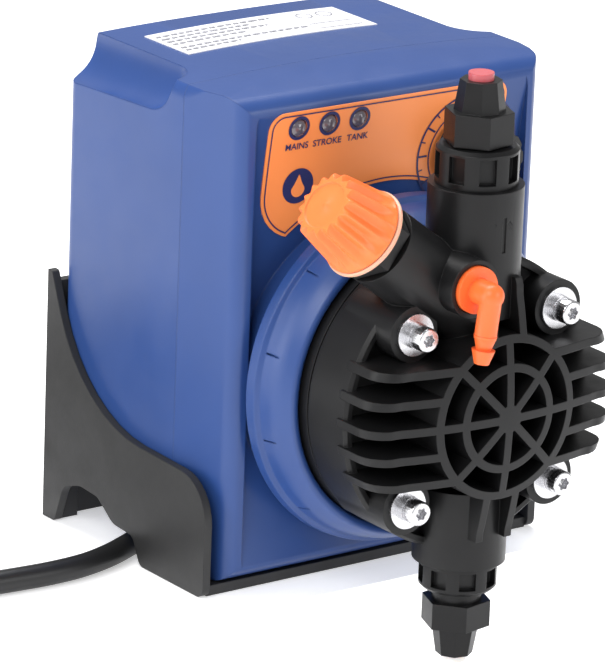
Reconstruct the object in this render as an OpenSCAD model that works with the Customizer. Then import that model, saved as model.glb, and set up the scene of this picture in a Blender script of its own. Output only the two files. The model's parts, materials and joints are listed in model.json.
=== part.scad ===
// Solenoid-driven diaphragm dosing pump in a two-part plastic housing on a wall and base bracket.
// +Z is up, the pump head faces -Y, and the origin is the centre of the base screws on the base plane.

/* [Housing] */
// Width of the housing at the parting line
housing_w = 113; // [100:1:140]
// Height of the housing
housing_h = 143; // [135:1:175]
// Depth of the rear shell, from the parting line to the back
rear_shell_d = 58; // [50:1:75]
// Depth of the front cover, from the parting line to its rim
front_cover_d = 22; // [19:1:27]
// How much narrower each side of the cover is at its rim
cover_taper = 4.75; // [2:0.25:8]
// Wall thickness of both shells
wall = 3; // [2.5:0.25:4]
// Radius of the cove that runs along each top side edge
cove_r = 11; // [6:0.5:13]
// Deepest point of the hollow in the front face
scoop_depth = 6; // [3:0.5:8]

/* [Collar and head] */
// Height of the head's axis above the base plane
head_z = 61; // [58:1:70]
// Outer radius of the collar where it meets the front face
collar_r = 51; // [49:0.5:54]
// How far the collar stands out of the cover's rim plane
collar_h = 19.5; // [17:0.5:22]
// Radius of the black pump head
head_r = 42.5; // [41:0.5:43.5]
// Distance between neighbouring head screws
screw_pitch = 50; // [46:1:52]
// Thickness of the head between the diaphragm and the open fins
head_t = 15.3; // [14:0.1:20]
// Height of the domed fins above the head's floor at the hub
fin_h = 21.5; // [18:0.5:26]
// Thickness of a fin
fin_t = 2.4; // [1.8:0.1:3]
// Distance from fin to fin
fin_pitch = 8; // [7:0.5:8.5]

/* [Valves] */
// Radius of the discharge cylinder
discharge_r = 13.4; // [12.5:0.1:15]
// Height of the discharge cylinder's end above the head's axis
discharge_h = 63; // [58:1:72]
// Radius of the suction cylinder
suction_r = 13.2; // [12.5:0.1:15]
// Distance of the suction cylinder's end below the head's axis
suction_h = 46.2; // [44:0.2:55]
// Width across flats of the hose nuts
nut_af = 17; // [17:0.5:19]
// Radius of the valve balls
ball_r = 4; // [3.5:0.1:4.5]
// How far a valve ball lifts
ball_lift = 2; // [1:0.25:2.5]

/* [Bleed valve] */
// Angle of the bleed valve above the horizontal
bleed_angle = 36.6; // [32:0.2:40]
// Length of the bleed boss from the valve axis
bleed_boss_l = 41; // [38:0.5:48]
// Length of the bleed knob
bleed_knob_h = 17.8; // [14:0.2:22]
// Radius of the bleed knob's front face
bleed_knob_r = 10; // [9:0.25:12]

/* [Solenoid] */
// Working stroke of the armature
stroke = 1.2; // [0.6:0.1:1.2]
// Radius of the solenoid's steel can
can_r = 30; // [29:0.5:34]
// Length of the solenoid's steel can
can_l = 54; // [50:1:60]
// Radius of the armature
armature_r = 12.8; // [11:0.2:14]

/* [Bracket] */
// Thickness of the bracket's plates
bracket_t = 3; // [2.5:0.25:4]
// Thickness of the bracket's cheeks
cheek_t = 2.5; // [2:0.25:4]
// Distance between the two base screws
base_pitch = 88; // [70:1:96]
// Distance between the wall screws, side to side
wall_pitch_x = 80; // [60:1:96]
// Distance between the wall screws, up and down
wall_pitch_z = 40; // [30:1:44]
// Radius of the holes for the mounting screws
mount_hole_r = 2.75; // [2.25:0.25:3.25]

/* [Controls] */
// Radius of the flow knob
flow_knob_r = 12; // [9:0.5:13]
// Height of the flow knob
flow_knob_h = 12; // [9:0.5:14]
// Sideways place of the flow knob
dial_x = 28; // [24:0.5:29]
// Distance between the indicator lamps
led_pitch = 10.4; // [8:0.2:12]

/* [Mains cable] */
// Radius of the mains cable
cable_r = 3.4; // [3:0.1:3.8]

/* [Hidden] */

$fn = 64;
eps = 0.1;
fit = 0.05;       // radial clearance of parts that are pushed or screwed together
slip = 0.25;      // clearance of parts that are laid in beside each other
run = 0.3;        // gap between parts that move past each other
lip = 1;          // width and height of the lip between the two shells

// Housing planes
base_z = bracket_t;
top_z = base_z + housing_h;
rim_y = -front_cover_d;
rear_y = rear_shell_d;
half_w = housing_w / 2;
arch_r = 800;
arch_fn = 720;
arch_over = 0.5;           // the side outlines pass this far over the arched top
edge_r = 5;
top_edge_r = 6;
under_z = base_z + 13;     // the rear half of the underside is raised for the cable
under_y = 10;
rim_drop = 3;              // the cover's top falls this much to its rim
cove_z = top_z - 1.5;
cove_end_y = 5.5;
cove_tilt = 2.5;

// Hollow of the front face, a shallow cylinder across it
scoop_low = base_z + 3;
scoop_high = top_z - 7;
scoop_z = (scoop_low + scoop_high) / 2;
scoop_half = (scoop_high - scoop_low) / 2;
scoop_r = (scoop_half * scoop_half + scoop_depth * scoop_depth) / (2 * scoop_depth);
scoop_side = 4.5;          // width of the rim beside the hollow
panel_w = half_w - cover_taper - scoop_side;
function panel_y(z) = rim_y + scoop_depth - scoop_r + sqrt(scoop_r * scoop_r - pow(z - scoop_z, 2));

// Head stack, from the collar's ridge forward
ridge_y = rim_y - collar_h;
recess_d = 5.3;
floor_y = ridge_y + recess_d;            // front face of the collar's inner floor
plate_t = 7;
plate_y = floor_y - plate_t;             // the head's rear face lies here
diaphragm_t = 2;
diaphragm_r = 30;
chamber_r = 23.5;
chamber_d = 3;
head_floor_y = plate_y - head_t;
head_rim_y = head_floor_y - 2.5;
hub_y = head_floor_y - fin_h;
dome_r = 130;
valve_y = head_floor_y - 1.5;
boss_r = 8;
boss_y = head_floor_y - 9;
boss_at = screw_pitch / 2;
ring_r = 22.6;
inner_ring_r = 14.5;
fin_count = 5;
recess_r = head_r + 0.4;
floor_bore_r = 15;

// Head screws, M4
screw_r = 2;
screw_hole_r = 2.25;
screw_head_r = 3.5;
screw_head_h = 4.3;
spring_washer_t = 1.5;
washer_r = 6;
washer_t = 1;
flange_t = 4;
flange_y = floor_y + wall;

// Valves
port_d = 15;
port_r = 9.2;
seal_t = 1.5;
flow_r = 2.5;
cage_gap = 0.3;
seat_gap = 0.02;
seat_h = sqrt(ball_r * ball_r - flow_r * flow_r) + seat_gap;
discharge_z = head_z + discharge_h;
suction_z = head_z - suction_h;
passage_y = plate_y - diaphragm_t - chamber_d - 4.5;
passage_at = 19;
passage_up = 32;
passage_down = 27.5;
cross_r = 2.2;
spigot_r = 7;
hose_bore_r = 3.6;
hex_r = nut_af / 2 / cos(30);

// Bleed valve
bleed_z = head_z + 25.5;
bleed_boss_r = 11.5;
bleed_bore_r = 6.2;
bleed_hex_af = 20;
bleed_hex_h = 5;
bleed_flange_r = 13;
bleed_stem_r = 3.5;
bleed_seat = 16;           // the stem's seal rests this far from the valve axis
elbow_x = -12;
elbow_z = head_z + 38.5;
elbow_boss_r = 8.2;
elbow_boss_l = 17;
elbow_bore_r = 4.2;
elbow_swivel = 7;

// Solenoid, behind the collar's floor
can_y = flange_y + flange_t;
can_wall = 3;
coil_y = can_y + 3;
coil_l = can_l - 12;
gap_y = can_y + 21;        // rear face of the fixed pole
tube_t = 0.4;
tube_r = armature_r + fit + tube_t;
rod_r = 3;
spring_bore_r = 7;
spring_d = 10;
armature_y = gap_y + stroke + 0.3;
armature_l = 23.5;
bumper_t = 4;
rod_front_y = plate_y + 0.2;

// Controls
led_z = head_z + 73;
led_x0 = -32.6;
led_r = 2.5;
led_hole = 2.6;
label_t = 0.4;
label_left = -42.7;
label_right = 40;
label_low = head_z + 40;
label_high = head_z + 78;
dial_z = head_z + 58;
dial_y = panel_y(dial_z + flow_knob_r) - label_t;  // the label's height at the knob's upper edge
shaft_r = 3;
board_y = -10;
board_t = 1.6;

// Bracket
cheek_x = half_w + 0.2;
cheek_out = cheek_x + cheek_t;
wall_y = rear_y + bracket_t;
bracket_front = -20.3;
wall_screw_z = 34;
screw_pocket_r = 6.5;
screw_pocket_d = 5;
bracket_screw_x = 24;

// Mains cable: gland pod under the housing, route on the base plane, coil and plug
pod_x = 30;
pod_w = 14;
gland_y = 32;
gland_z = 8.6;
gland_r = 5.5;
gland_flange_r = 6.8;
gland_l = 28;
// Route of the cable from inside the gland to the coil
route = [
    [34, 32, 8.6], [18, 32, 8.6], [2, 32, 8.6], [-12, 32, 8.2], [-24, 31, 6.6], [-36, 28, 4.6], [-47, 24, 3.6],
    [-57, 19.5, 3.4], [-67, 15, 3.4], [-78, 12, 3.4], [-89, 11.3, 3.4], [-100, 12, 3.4],
    [-112, 13.2, 3.4], [-124, 13.8, 3.4]
];
// Route of the cable from the coil up to the plug, which lies on the coil
tail = [
    [-138, 13.7, 10.2], [-149.5, 15.2, 10.3], [-160.2, 19.7, 10.6], [-169.3, 26.7, 11.3],
    [-176.4, 35.9, 12.5], [-180.8, 46.5, 14.3], [-182.3, 58, 16.5], [-181.3, 65.3, 18.4],
    [-178.5, 72, 20.5], [-174.1, 77.8, 22.9], [-168.3, 82.2, 25.5], [-161.5, 85, 28.1],
    [-154.3, 86, 30.8], [-145, 86, 33.1]
];
coil_x = -138;
coil_y0 = 58;
coil_mean_r = 37.5;
coil_rows = 3;
coil_layers = 2;
plug_x = -146;
plug_y = 86;
plug_z = 33.1;
plug_r = 19.5;
plug_boot_l = 24;
plug_l = 32;
pin_pitch = 19;
pin_r = 2.4;
pin_l = 19;

// ---- outlines and placing -------------------------------------------------------------

function unit(v) = v / norm(v);
function turn(a) = (a + 540) % 360 - 180;

// Outline through corner points [x, y, radius], each corner rounded by an arc of that radius
function rounded(pts, n = 8) = let (m = len(pts)) [
    for (i = [0 : m - 1]) let (
        p = [pts[i][0], pts[i][1]],
        r = pts[i][2],
        q = pts[(i + m - 1) % m],
        s = pts[(i + 1) % m],
        a = unit([q[0], q[1]] - p),
        b = unit([s[0], s[1]] - p),
        half = acos(max(-1, min(1, a * b))) / 2,
        c = p + unit(a + b) * r / sin(half),
        from = p + a * r / tan(half) - c,
        to = p + b * r / tan(half) - c,
        a0 = atan2(from[1], from[0]),
        da = turn(atan2(to[1], to[0]) - a0)
    ) each r == 0 ? [p] : [for (k = [0 : n]) c + r * [cos(a0 + da * k / n), sin(a0 + da * k / n)]]
];

function box_corners(x0, y0, x1, y1, r) = [[x0, y0, r], [x1, y0, r], [x1, y1, r], [x0, y1, r]];

// An outline in X and Z, extruded from y0 to y1
module along_y(y0, y1) {
    translate([0, y1, 0]) rotate([90, 0, 0]) linear_extrude(y1 - y0) children();
}

// An outline in Y and Z, extruded from x0 to x1
module along_x(x0, x1) {
    translate([x0, 0, 0]) rotate([90, 0, 90]) linear_extrude(x1 - x0) children();
}

// A solid turned about the head's axis, from points [radius, y]
module turned(pts) {
    translate([0, 0, head_z]) rotate([-90, 0, 0]) rotate_extrude($fn = 128) polygon(pts);
}

// A round bar or bore along Y
module bar_y(x, z, r, y0, y1) {
    along_y(y0, y1) translate([x, z]) circle(r);
}

module block(x0, x1, y0, y1, z0, z1) {
    translate([x0, y0, z0]) cube([x1 - x0, y1 - y0, z1 - z0]);
}

module at_head_screws() {
    for (sx = [-1, 1], sz = [-1, 1]) translate([sx * boss_at, 0, head_z + sz * boss_at]) children();
}

module at_discharge() translate([0, valve_y, discharge_z]) children();
module at_suction() translate([0, valve_y, suction_z]) mirror([0, 0, 1]) children();
module at_bleed() translate([0, valve_y, bleed_z]) rotate([0, bleed_angle - 90, 0]) children();
module at_elbow() translate([elbow_x, valve_y, elbow_z]) rotate([90, 0, 0]) children();
module at_dial() translate([dial_x, dial_y, dial_z]) rotate([90, 0, 0]) children();

// A ring about the local Z axis
module ring(r_out, r_in, z0, z1) {
    translate([0, 0, z0]) difference() {
        cylinder(r = r_out, h = z1 - z0);
        translate([0, 0, -eps]) cylinder(r = r_in, h = z1 - z0 + 2 * eps);
    }
}

// Points of one cross-section of a swept tube
function section_at(pts, i, r, n, ref) = let (
    last = len(pts) - 1,
    t = unit(pts[min(i + 1, last)] - pts[max(i - 1, 0)]),
    side = unit(cross(t, ref)),
    up = cross(side, t)
) [for (k = [0 : n - 1]) pts[i] + r * (cos(360 * k / n) * side + sin(360 * k / n) * up)];

// A plain tube swept along points
module sweep_tube(pts, r, n, ref) {
    last = len(pts) - 1;
    polyhedron(
        points = [for (i = [0 : last]) each section_at(pts, i, r, n, ref)],
        faces = concat(
            [[for (k = [0 : n - 1]) k]],
            [for (i = [0 : last - 1], k = [0 : n - 1]) let (j = (k + 1) % n)
                each [[i * n + k, (i + 1) * n + k, (i + 1) * n + j], [i * n + k, (i + 1) * n + j, i * n + j]]],
            [[for (k = [n - 1 : -1 : 0]) last * n + k]]
        )
    );
}

// ---- housing ----------------------------------------------------------------------------

// Front view of the housing, set in by an inset on every side
module housing_outline(inset = 0) {
    intersection() {
        polygon(rounded([
            [-half_w + inset, base_z + inset, edge_r - inset / 2],
            [half_w - inset, base_z + inset, edge_r - inset / 2],
            [half_w - inset, top_z - inset, top_edge_r - inset / 2],
            [-half_w + inset, top_z - inset, top_edge_r - inset / 2]
        ]));
        translate([0, top_z - inset - arch_r]) circle(arch_r, $fn = arch_fn);
    }
}

// Side view of the rear shell, with the raised rear half of its underside
function rear_side(inset) = let (
    y1 = rear_y - inset,
    r = edge_r - inset / 2
) rounded([
    [0, base_z + inset, 0],
    [under_y - inset, base_z + inset, 0.5],
    [under_y + 3 - inset, under_z + inset, 2],
    [y1, under_z + inset, r],
    [y1, top_z + arch_over - inset, r],
    [0, top_z + arch_over - inset, 0]
]);

module rear_block(inset) {
    x = half_w - inset;
    y1 = rear_y - inset;
    r = edge_r - inset / 2;
    intersection() {
        along_y(0, rear_y + eps) housing_outline(inset);
        along_x(-half_w - eps, half_w + eps) polygon(rear_side(inset));
        linear_extrude(top_z + eps) polygon(rounded([[-x, 0, 0], [x, 0, 0], [x, y1, r], [-x, y1, r]]));
    }
}

// The cove along each top side edge, with a rounded end behind the parting line
module coves(r) {
    for (s = [-1, 1]) translate([s * (half_w + 1), cove_end_y + cove_r, cove_z])
        rotate([-90 - cove_tilt, 0, 0]) rotate_extrude() intersection() {
            union() {
                circle(r);
                square([r, rear_y]);
            }
            translate([0, -r]) square([r, rear_y + r]);
        }
}

// Pockets over the heads of the base screws, half in each shell
module base_screw_pockets() {
    for (s = [-1, 1]) translate([s * base_pitch / 2, 0, base_z - eps])
        cylinder(r = screw_pocket_r, h = screw_pocket_d);
}

boss_in = 8.5;
case_screws = [
    for (s = [-1, 1]) each [[s * (half_w - boss_in), under_z + 8], [s * (half_w - boss_in), top_z - 24]]
];
case_boss_r = 4.6;
case_screw_r = 1.75;
case_head_r = 3.4;
case_seat_y = 8;

module rear_housing() {
    color([0.25, 0.34, 0.62]) difference() {
        union() {
            difference() {
                rear_block(0);
                coves(cove_r);
                difference() {
                    translate([0, -eps, 0]) rear_block(wall);
                    coves(cove_r + wall);
                    // tubes for the screws that hold the cover
                    for (c = case_screws) bar_y(c[0], c[1], case_boss_r, 0, rear_y);
                }
            }
            // pod under the raised floor that carries the cable gland
            block(pod_x, pod_x + pod_w, gland_y - 8.5, gland_y + 8.5, 0.6, under_z + 1);
            // raised lip that fits inside the cover
            difference() {
                along_y(-lip, 0.5) housing_outline(wall - lip);
                along_y(-lip - eps, 0.5 + eps) housing_outline(wall);
            }
        }
        for (c = case_screws) {
            bar_y(c[0], c[1], case_screw_r + 0.15, -eps, case_seat_y + eps);
            bar_y(c[0], c[1], case_head_r + slip, case_seat_y, rear_y + eps);
        }
        // wire way through the pod and its mouth for the gland
        translate([pod_x - eps, gland_y, gland_z]) rotate([0, 90, 0]) cylinder(r = gland_r + fit, h = 3 + eps);
        block(pod_x + 3 - eps, pod_x + pod_w - 2, gland_y - 6, gland_y + 6, 2.6, under_z + wall + eps);
        base_screw_pockets();
        for (s = [-1, 1]) translate([s * bracket_screw_x, 5, base_z - eps])
            cylinder(r = 1.7, h = wall + 2 * eps);
    }
}

// Front cover: tapered box, set in by an inset
module cover_block(inset) {
    x0 = half_w - inset;
    x1 = half_w - cover_taper - inset;
    y0 = rim_y + inset;
    r = 6 - inset / 2;
    intersection() {
        along_y(rim_y - eps, 0) housing_outline(inset);
        along_x(-half_w - eps, half_w + eps) polygon(rounded([
            [0, base_z + inset, 0], [y0, base_z + 0.5 + inset, r], [y0, top_z - rim_drop - inset, r],
            [0, top_z + arch_over - inset, 0]
        ]));
        linear_extrude(top_z + eps) polygon(rounded([[x0, 0, 0], [-x0, 0, 0], [-x1, y0, r], [x1, y0, r]]));
    }
}

// The hollow of the front face
module scoop(grow) {
    intersection() {
        along_x(-half_w, half_w)
            translate([rim_y + scoop_depth - scoop_r, scoop_z]) circle(scoop_r + grow, $fn = arch_fn);
        along_y(rim_y - scoop_r, 0)
            polygon(rounded(box_corners(-panel_w - grow, scoop_low - 5, panel_w + grow, scoop_high + 5, 9)));
    }
}

collar_step = 7.5;         // front of the collar's plain base ring, out of the rim plane
collar_back = 4;           // back of the base ring, over the neck
neck_r = collar_r - 4.5;
collar_inner_r = neck_r - wall;

module collar_body() {
    turned(rounded([
        [floor_bore_r, rim_y + scoop_depth + 1, 0],
        [neck_r, rim_y + scoop_depth + 1, 0],
        [neck_r, rim_y - collar_back, 1],
        [collar_r, rim_y - collar_back, 0.5],
        [collar_r - 0.4, rim_y - collar_step, 0.5],
        [collar_r - 1.8, rim_y - collar_step - 0.8, 0.3],
        [collar_r - 2.9, rim_y - collar_step - 6, 16],
        [recess_r + 1.9, ridge_y, 1.6],
        [recess_r, ridge_y + 1.6, 0.5],
        [recess_r, floor_y, 0],
        [floor_bore_r, floor_y, 0]
    ], 10));
}

// Space inside the collar, behind its floor
module collar_hollow() {
    turned([
        [0, flange_y], [recess_r - 1.5, flange_y], [collar_inner_r, rim_y - 4], [collar_inner_r, 1], [0, 1]
    ]);
}

tick_count = 12;

module front_cover() {
    color([0.27, 0.36, 0.66]) difference() {
        union() {
            difference() {
                cover_block(0);
                scoop(0);
                difference() {
                    translate([0, eps, 0]) cover_block(wall);
                    scoop(wall);
                }
            }
            collar_body();
            for (c = case_screws) bar_y(c[0] * (half_w - boss_in - 2) / (half_w - boss_in),
                c[1], case_boss_r, rim_y + wall + 4, 0);
        }
        collar_hollow();
        // groove for the lip of the rear shell
        difference() {
            along_y(-lip - slip, eps) housing_outline(wall - lip - slip);
            along_y(-lip - 1, 2 * eps) housing_outline(wall + slip);
        }
        base_screw_pockets();
        for (c = case_screws) bar_y(c[0], c[1], 1.4, -14, eps);
        at_head_screws() rotate([-90, 0, 0]) translate([0, 0, floor_y - eps])
            cylinder(r = screw_hole_r, h = wall + 2 * eps);
        turned([[0, floor_y - eps], [floor_bore_r, floor_y - eps], [floor_bore_r, 0], [0, 0]]);
        for (i = [0 : 2]) bar_y(led_x0 + i * led_pitch, led_z, led_hole, rim_y - eps, board_y);
        bar_y(dial_x, dial_z, shaft_r + 0.5, rim_y - eps, board_y);
        // short tick marks engraved round the collar's slope
        for (i = [0 : tick_count - 1]) translate([0, 0, head_z]) rotate([0, i * 360 / tick_count + 15, 0])
            translate([collar_r - 3, rim_y - collar_step - 7, -0.25]) cube([4, 6, 0.5]);
    }
}

// Outline of the control label: rounded ends, with the collar's arc cut out of its lower edge
module label_outline() {
    difference() {
        polygon(rounded([
            [label_left, label_low, 14], [label_right, label_low, 5],
            [label_right, label_high, 5], [label_left, label_high, 5]
        ]));
        translate([0, head_z]) circle(collar_r + 1.4, $fn = 128);
        for (i = [0 : 2]) translate([led_x0 + i * led_pitch, led_z]) circle(led_hole + 0.1);
        translate([dial_x, dial_z]) circle(shaft_r + 0.7);
    }
}

module control_label() {
    color([1, 0.48, 0.22]) intersection() {
        along_y(rim_y - eps - label_t, 0) label_outline();
        along_x(-half_w, half_w) translate([rim_y + scoop_depth - scoop_r, scoop_z]) difference() {
            circle(scoop_r, $fn = arch_fn);
            circle(scoop_r - label_t, $fn = arch_fn);
        }
    }
}

rating_x0 = -39;
rating_y0 = 23;
rating_w = 66;
rating_d = 22;
rating_t = 0.3;

module rating_label() {
    color([0.92, 0.92, 0.94]) intersection() {
        block(rating_x0, rating_x0 + rating_w, rating_y0, rating_y0 + rating_d, top_z - 5, top_z + 2);
        along_y(rating_y0 - eps, rating_y0 + rating_d + eps) translate([0, top_z - arch_r]) difference() {
            circle(arch_r + rating_t, $fn = arch_fn);
            circle(arch_r, $fn = arch_fn);
        }
    }
}

module housing_screws() {
    color("silver") for (c = case_screws) {
        bar_y(c[0], c[1], 1.35, -13.5, case_seat_y);
        difference() {
            bar_y(c[0], c[1], case_head_r, case_seat_y, case_seat_y + 2.4);
            translate([c[0], case_seat_y + 2.4, c[1]]) for (a = [0, 90]) rotate([0, a, 0])
                cube([4, 2.4, 0.9], center = true);
        }
    }
}

// ---- bracket ----------------------------------------------------------------------------

// Side view of a cheek: flat front foot, cable arch, rear foot, and the S-curve of its top edge
function cheek_outline() = rounded([
    [bracket_front, 0, 3],
    [11, 0, 3],
    [15, 7.8, 3],
    [25, 8.4, 7],
    [33, 14, 4],
    [rear_y - 16, 14.6, 6],
    [rear_y - 7.5, 12, 6],
    [rear_y - 3.2, 0, 1],
    [wall_y, 0, 0],
    [wall_y, 75, 0],
    [wall_y - 2, 75, 1],
    [rear_y - 15.3, 36, 46],
    [bracket_front, 34.2, 13]
]);

module mounting_bracket() {
    color([0.27, 0.27, 0.28]) difference() {
        union() {
            for (x = [cheek_x, -cheek_out]) along_x(x, x + cheek_t) polygon(cheek_outline());
            // base plate under the front half
            block(-cheek_x - eps, cheek_x + eps, bracket_front + 1.5, under_y, 0, bracket_t);
            // wall plate behind the housing
            block(-cheek_x - eps, cheek_x + eps, rear_y, wall_y, 0, 72);
            // gussets between the wall plate and the cheeks, in the cable space
            for (s = [-1, 1]) translate([s * (cheek_x - 3), rear_y - 2.5, 0])
                block(-3, 3, 0, 2.6, 0, under_z - 1);
        }
        for (s = [-1, 1]) {
            translate([s * base_pitch / 2, 0, -eps]) cylinder(r = mount_hole_r, h = bracket_t + 2 * eps);
            // countersunk holes for the bracket screws
            translate([s * bracket_screw_x, 5, -eps]) cylinder(r = 2.1, h = bracket_t + 2 * eps);
            translate([s * bracket_screw_x, 5, -eps]) cylinder(r = 4.2, h = 1.8 + eps);
            for (t = [-1, 1])
                bar_y(s * wall_pitch_x / 2, wall_screw_z + t * wall_pitch_z / 2, mount_hole_r,
                    rear_y - eps, wall_y + eps);
        }
        // cable notch in the wall plate's lower edge
        along_y(rear_y - eps, wall_y + eps) polygon(rounded(box_corners(-14, -10, 14, 9, 5)));
    }
}

module bracket_screws() {
    color("silver") for (s = [-1, 1]) translate([s * bracket_screw_x, 5, 0]) {
        translate([0, 0, 0.2]) difference() {
            cylinder(r = 3.8, h = 1.6);
            translate([0, 0, -eps]) cylinder(r = 1.5, h = 1.1, $fn = 6);
        }
        translate([0, 0, 1.8]) cylinder(r = 1.65, h = base_z + wall - 1.8 + 1.5);
    }
}

// ---- mains cable ------------------------------------------------------------------------

module cable_gland() {
    color([0.12, 0.12, 0.13]) translate([0, gland_y, gland_z]) rotate([0, -90, 0]) difference() {
        union() {
            translate([0, 0, -pod_x - 3]) cylinder(r = gland_r, h = 3);
            translate([0, 0, -pod_x]) cylinder(r = gland_flange_r, h = 2);
            translate([0, 0, 2 - pod_x]) cylinder(r1 = gland_r, r2 = cable_r + 0.9, h = gland_l - 2);
        }
        translate([0, 0, -pod_x - 3 - eps]) cylinder(r = cable_r + fit, h = gland_l + 3 + 2 * eps);
    }
}

module power_cable() {
    color([0.1, 0.1, 0.11]) sweep_tube(route, cable_r, 12, [0, 0, 1]);
}

module cable_tail() {
    color([0.1, 0.1, 0.11]) sweep_tube(tail, cable_r, 12, [0, 0, 1]);
}

// The coil's outer shape: its turns lie in rows and layers a cable diameter apart
module cable_coil() {
    half = coil_rows * cable_r;
    color([0.1, 0.1, 0.11]) translate([coil_x, coil_y0, 0]) rotate_extrude($fn = 96)
        polygon(rounded(box_corners(coil_mean_r - half, 0, coil_mean_r + half,
            coil_layers * 2 * cable_r, cable_r)));
}

// Moulded round earthed plug, lying on its side
module mains_plug() {
    color([0.1, 0.1, 0.11]) translate([plug_x, plug_y, plug_z]) rotate([0, 90, 0]) difference() {
        rotate_extrude($fn = 96) polygon(rounded([
            [0, 0, 0], [cable_r + 1.2, 0, 0.5], [cable_r + 2.8, plug_boot_l, 10],
            [plug_r - 3, plug_boot_l + 7, 6], [plug_r, plug_boot_l + plug_l - 6, 3],
            [plug_r, plug_boot_l + plug_l, 1], [0, plug_boot_l + plug_l, 0]
        ]));
        translate([0, 0, -eps]) cylinder(r = cable_r + fit, h = 3);
        for (s = [-1, 1]) {
            translate([0, s * pin_pitch / 2, plug_boot_l + plug_l - 8]) cylinder(r = pin_r + fit, h = 10);
            // earth clip grooves
            translate([s * (plug_r + 0.8), 0, plug_boot_l + 8 + plug_l / 2])
                cube([4, 7, plug_l + 16], center = true);
        }
    }
}

module plug_pins() {
    color("silver") for (s = [-1, 1])
        translate([plug_x + plug_boot_l + plug_l - 8, plug_y + s * pin_pitch / 2, plug_z])
            rotate([0, 90, 0]) rotate_extrude($fn = 48)
                polygon(rounded([[0, 0, 0], [pin_r, 0, 0], [pin_r, 8 + pin_l, 1.4], [0, 8 + pin_l, 0]]));
}

// ---- electronics ------------------------------------------------------------------------

control_board_y = rear_y - 14;

module control_board() {
    color([0.1, 0.35, 0.2]) difference() {
        block(-38, 38, control_board_y, control_board_y + board_t, under_z + 12, top_z - 30);
        for (sx = [-1, 1], z = [under_z + 17, top_z - 35]) bar_y(sx * 33, z, 1.6,
            control_board_y - eps, control_board_y + board_t + eps);
    }
    color([0.25, 0.34, 0.62]) for (sx = [-1, 1], z = [under_z + 17, top_z - 35])
        bar_y(sx * 33, z, 3, control_board_y + board_t, rear_y - wall - eps);
}

module board_parts() {
    y = control_board_y;
    color([0.7, 0.6, 0.2]) block(-32, -4, y - 15, y, top_z - 58, top_z - 34);
    color([0.15, 0.4, 0.7]) block(6, 30, y - 9, y, under_z + 22, under_z + 30);
    color([0.2, 0.2, 0.25]) for (x = [8, 22]) bar_y(x, top_z - 46, 5, y - 14, y);
}

module led_board() {
    color([0.1, 0.35, 0.2]) difference() {
        block(-40, 40, board_y, board_y + board_t, label_low + 6, label_high - 1);
        bar_y(dial_x, dial_z, shaft_r + 0.5, board_y - eps, board_y + board_t + eps);
    }
    color([0.27, 0.36, 0.66]) for (x = [-37, 37])
        bar_y(x, led_z - 4, 2, panel_y(led_z - 4) + wall + 0.3, board_y);
}

module indicator(i) {
    x = led_x0 + i * led_pitch;
    tip = panel_y(led_z) - 1.6;
    color([0.25, 0.22, 0.24]) {
        bar_y(x, led_z, led_r, tip + 1.2, board_y);
        translate([x, tip + 1.2, led_z]) rotate([90, 0, 0]) intersection() {
            translate([0, 0, -1.9]) sphere(r = 3.1);
            cylinder(r = led_r, h = 3);
        }
    }
}

module power_led() indicator(0);
module pulse_led() indicator(1);
module level_led() indicator(2);

module potentiometer() {
    color([0.5, 0.5, 0.55]) {
        bar_y(dial_x, dial_z, 8.5, board_y + board_t, board_y + board_t + 7);
        block(dial_x - 4, dial_x + 4, board_y + board_t, board_y + board_t + 5, dial_z - 13, dial_z - 7);
    }
}

knob_flutes = 12;

module flow_knob() {
    color([0.1, 0.1, 0.11]) {
        at_dial() difference() {
            union() {
                translate([0, 0, run]) cylinder(r1 = flow_knob_r, r2 = flow_knob_r - 1, h = 3.5);
                translate([0, 0, 3.5]) cylinder(r = flow_knob_r - 2.2, h = flow_knob_h - 3.5);
            }
            for (i = [0 : knob_flutes - 1]) rotate(i * 360 / knob_flutes + 15)
                translate([flow_knob_r - 1.4, 0, 4.2]) cylinder(r = 1.3, h = flow_knob_h);
            // pointer slot across the top
            translate([-0.6, 2, flow_knob_h - 0.6]) cube([1.2, flow_knob_r, 1]);
        }
        // shaft into the potentiometer
        bar_y(dial_x, dial_z, shaft_r, dial_y - run - eps, board_y + board_t - run);
    }
}

// ---- solenoid ---------------------------------------------------------------------------

module solenoid_can() {
    color([0.55, 0.57, 0.6]) difference() {
        turned([
            [armature_r + fit, flange_y], [boss_at * sqrt(2) + 4.5, flange_y],
            [boss_at * sqrt(2) + 4.5, can_y], [can_r, can_y], [can_r, can_y + can_l], [0, can_y + can_l],
            [0, can_y + can_l - 4], [can_r - can_wall, can_y + can_l - 4], [can_r - can_wall, can_y],
            [armature_r + fit, can_y]
        ]);
        at_head_screws() rotate([-90, 0, 0]) translate([0, 0, flange_y - eps])
            cylinder(r = screw_r + 0.02, h = flange_t + 2 * eps);
    }
}

module solenoid_coil() {
    color([0.72, 0.4, 0.15]) turned([
        [tube_r + fit, coil_y - 2], [can_r - can_wall - slip, coil_y - 2], [can_r - can_wall - slip, coil_y],
        [can_r - can_wall - 2, coil_y], [can_r - can_wall - 2, coil_y + coil_l - 2],
        [can_r - can_wall - slip, coil_y + coil_l - 2], [can_r - can_wall - slip, coil_y + coil_l],
        [tube_r + fit, coil_y + coil_l]
    ]);
}

module solenoid_pole() {
    r = armature_r;
    color([0.6, 0.6, 0.63]) turned([
        [5 + fit, flange_y], [r, flange_y], [r, gap_y], [spring_bore_r, gap_y],
        [spring_bore_r, gap_y - spring_d], [rod_r + 0.6, gap_y - spring_d],
        [rod_r + 0.6, gap_y - spring_d - 1], [5 + fit, gap_y - spring_d - 1]
    ]);
}

module rod_bush() {
    color([0.75, 0.6, 0.3]) turned([
        [rod_r + 0.04, flange_y], [5, flange_y], [5, gap_y - spring_d - 1],
        [rod_r + 0.04, gap_y - spring_d - 1]
    ]);
}

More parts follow.
